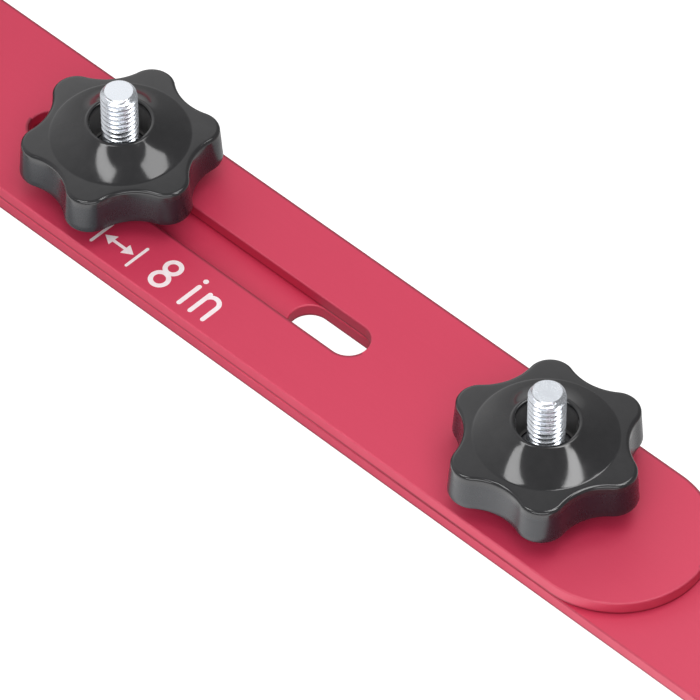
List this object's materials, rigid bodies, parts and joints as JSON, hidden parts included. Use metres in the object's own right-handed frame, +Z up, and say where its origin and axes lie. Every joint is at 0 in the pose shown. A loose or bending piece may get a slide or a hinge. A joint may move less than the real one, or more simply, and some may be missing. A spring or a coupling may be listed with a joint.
{
  "type": "stair tread gauge",
  "caption": "Adjustable stair tread gauge: slotted flat bars slide on each other, star knobs clamp them, and swivelling end plates take the tread's length and angles.",
  "frame": {"origin": "midway between the two centre bolts, level with the bottoms of the bolt heads", "axes": "+X along the bars towards the end plate that lies on top, +Y across the bars, +Z up out of the knobs"},
  "size_m": [0.2876, 0.254, 0.028],
  "materials": {
    "red_anodised": "satin red anodised sheet",
    "zinc_bolt": "bright zinc plating",
    "washer_steel": "zinc-plated, lightly rubbed",
    "black_plastic": "moulded, glossy",
    "dark_insert": "turned steel, blackened"
  },
  "bodies": {
    "upper": {"upper_bar": "red_anodised", "right_centre_bolt": "zinc_bolt"},
    "lower": {"lower_bar": "red_anodised", "left_centre_bolt": "zinc_bolt", "right_pivot_bolt": "zinc_bolt"},
    "left_end": {"left_end_plate": "red_anodised", "left_pivot_bolt": "zinc_bolt"},
    "right_end": {"right_end_plate": "red_anodised"},
    "left_centre_washer": {"left_centre_washer": "washer_steel"},
    "left_centre_knob": {"left_centre_knob": "black_plastic", "left_centre_insert": "dark_insert"},
    "right_centre_washer": {"right_centre_washer": "washer_steel"},
    "right_centre_knob": {"right_centre_knob": "black_plastic", "right_centre_insert": "dark_insert"},
    "left_pivot_washer": {"left_pivot_washer": "washer_steel"},
    "left_pivot_knob": {"left_pivot_knob": "black_plastic", "left_pivot_insert": "dark_insert"},
    "right_pivot_washer": {"right_pivot_washer": "washer_steel"},
    "right_pivot_knob": {"right_pivot_knob": "black_plastic", "right_pivot_insert": "dark_insert"}
  },
  "joints": [
    {"name": "bar_slide", "type": "slide", "parent": "upper", "child": "lower", "axis": [1, 0, 0], "range_m": [-0.015, 0.049]},
    {"name": "left_end_swivel", "type": "hinge", "parent": "upper", "child": "left_end", "pos_m": [-0.11182, 0, 0.0055], "axis": [0, 0, 1], "range_deg": [-45, 45]},
    {"name": "right_end_swivel", "type": "hinge", "parent": "lower", "child": "right_end", "pos_m": [0.11182, 0, 0.0055], "axis": [0, 0, 1], "range_deg": [-45, 45]},
    {"name": "left_centre_lift", "type": "slide", "parent": "lower", "child": "left_centre_washer", "axis": [0, 0, 1], "range_m": [0, 0.001]},
    {"name": "left_centre_turn", "type": "hinge", "parent": "left_centre_washer", "child": "left_centre_knob", "pos_m": [-0.04625, 0, 0.0096], "axis": [0, 0, 1], "range_deg": [0, 360]},
    {"name": "right_centre_lift", "type": "slide", "parent": "upper", "child": "right_centre_washer", "axis": [0, 0, 1], "range_m": [0, 0.001]},
    {"name": "right_centre_turn", "type": "hinge", "parent": "right_centre_washer", "child": "right_centre_knob", "pos_m": [0.04625, 0, 0.0096], "axis": [0, 0, 1], "range_deg": [0, 360]},
    {"name": "left_pivot_lift", "type": "slide", "parent": "left_end", "child": "left_pivot_washer", "axis": [0, 0, 1], "range_m": [0, 0.001]},
    {"name": "left_pivot_turn", "type": "hinge", "parent": "left_pivot_washer", "child": "left_pivot_knob", "pos_m": [-0.11182, 0, 0.0096], "axis": [0, 0, 1], "range_deg": [0, 360]},
    {"name": "right_pivot_lift", "type": "slide", "parent": "lower", "child": "right_pivot_washer", "axis": [0, 0, 1], "range_m": [0, 0.001]},
    {"name": "right_pivot_turn", "type": "hinge", "parent": "right_pivot_washer", "child": "right_pivot_knob", "pos_m": [0.11182, 0, 0.0096], "axis": [0, 0, 1], "range_deg": [0, 360]}
  ],
  "couplings": [
    {"joint": "left_centre_turn", "follows": "left_centre_lift", "rad_per_m": 6283.2},
    {"joint": "right_centre_turn", "follows": "right_centre_lift", "rad_per_m": 6283.2},
    {"joint": "left_pivot_turn", "follows": "left_pivot_lift", "rad_per_m": 6283.2},
    {"joint": "right_pivot_turn", "follows": "right_pivot_lift", "rad_per_m": 6283.2}
  ]
}
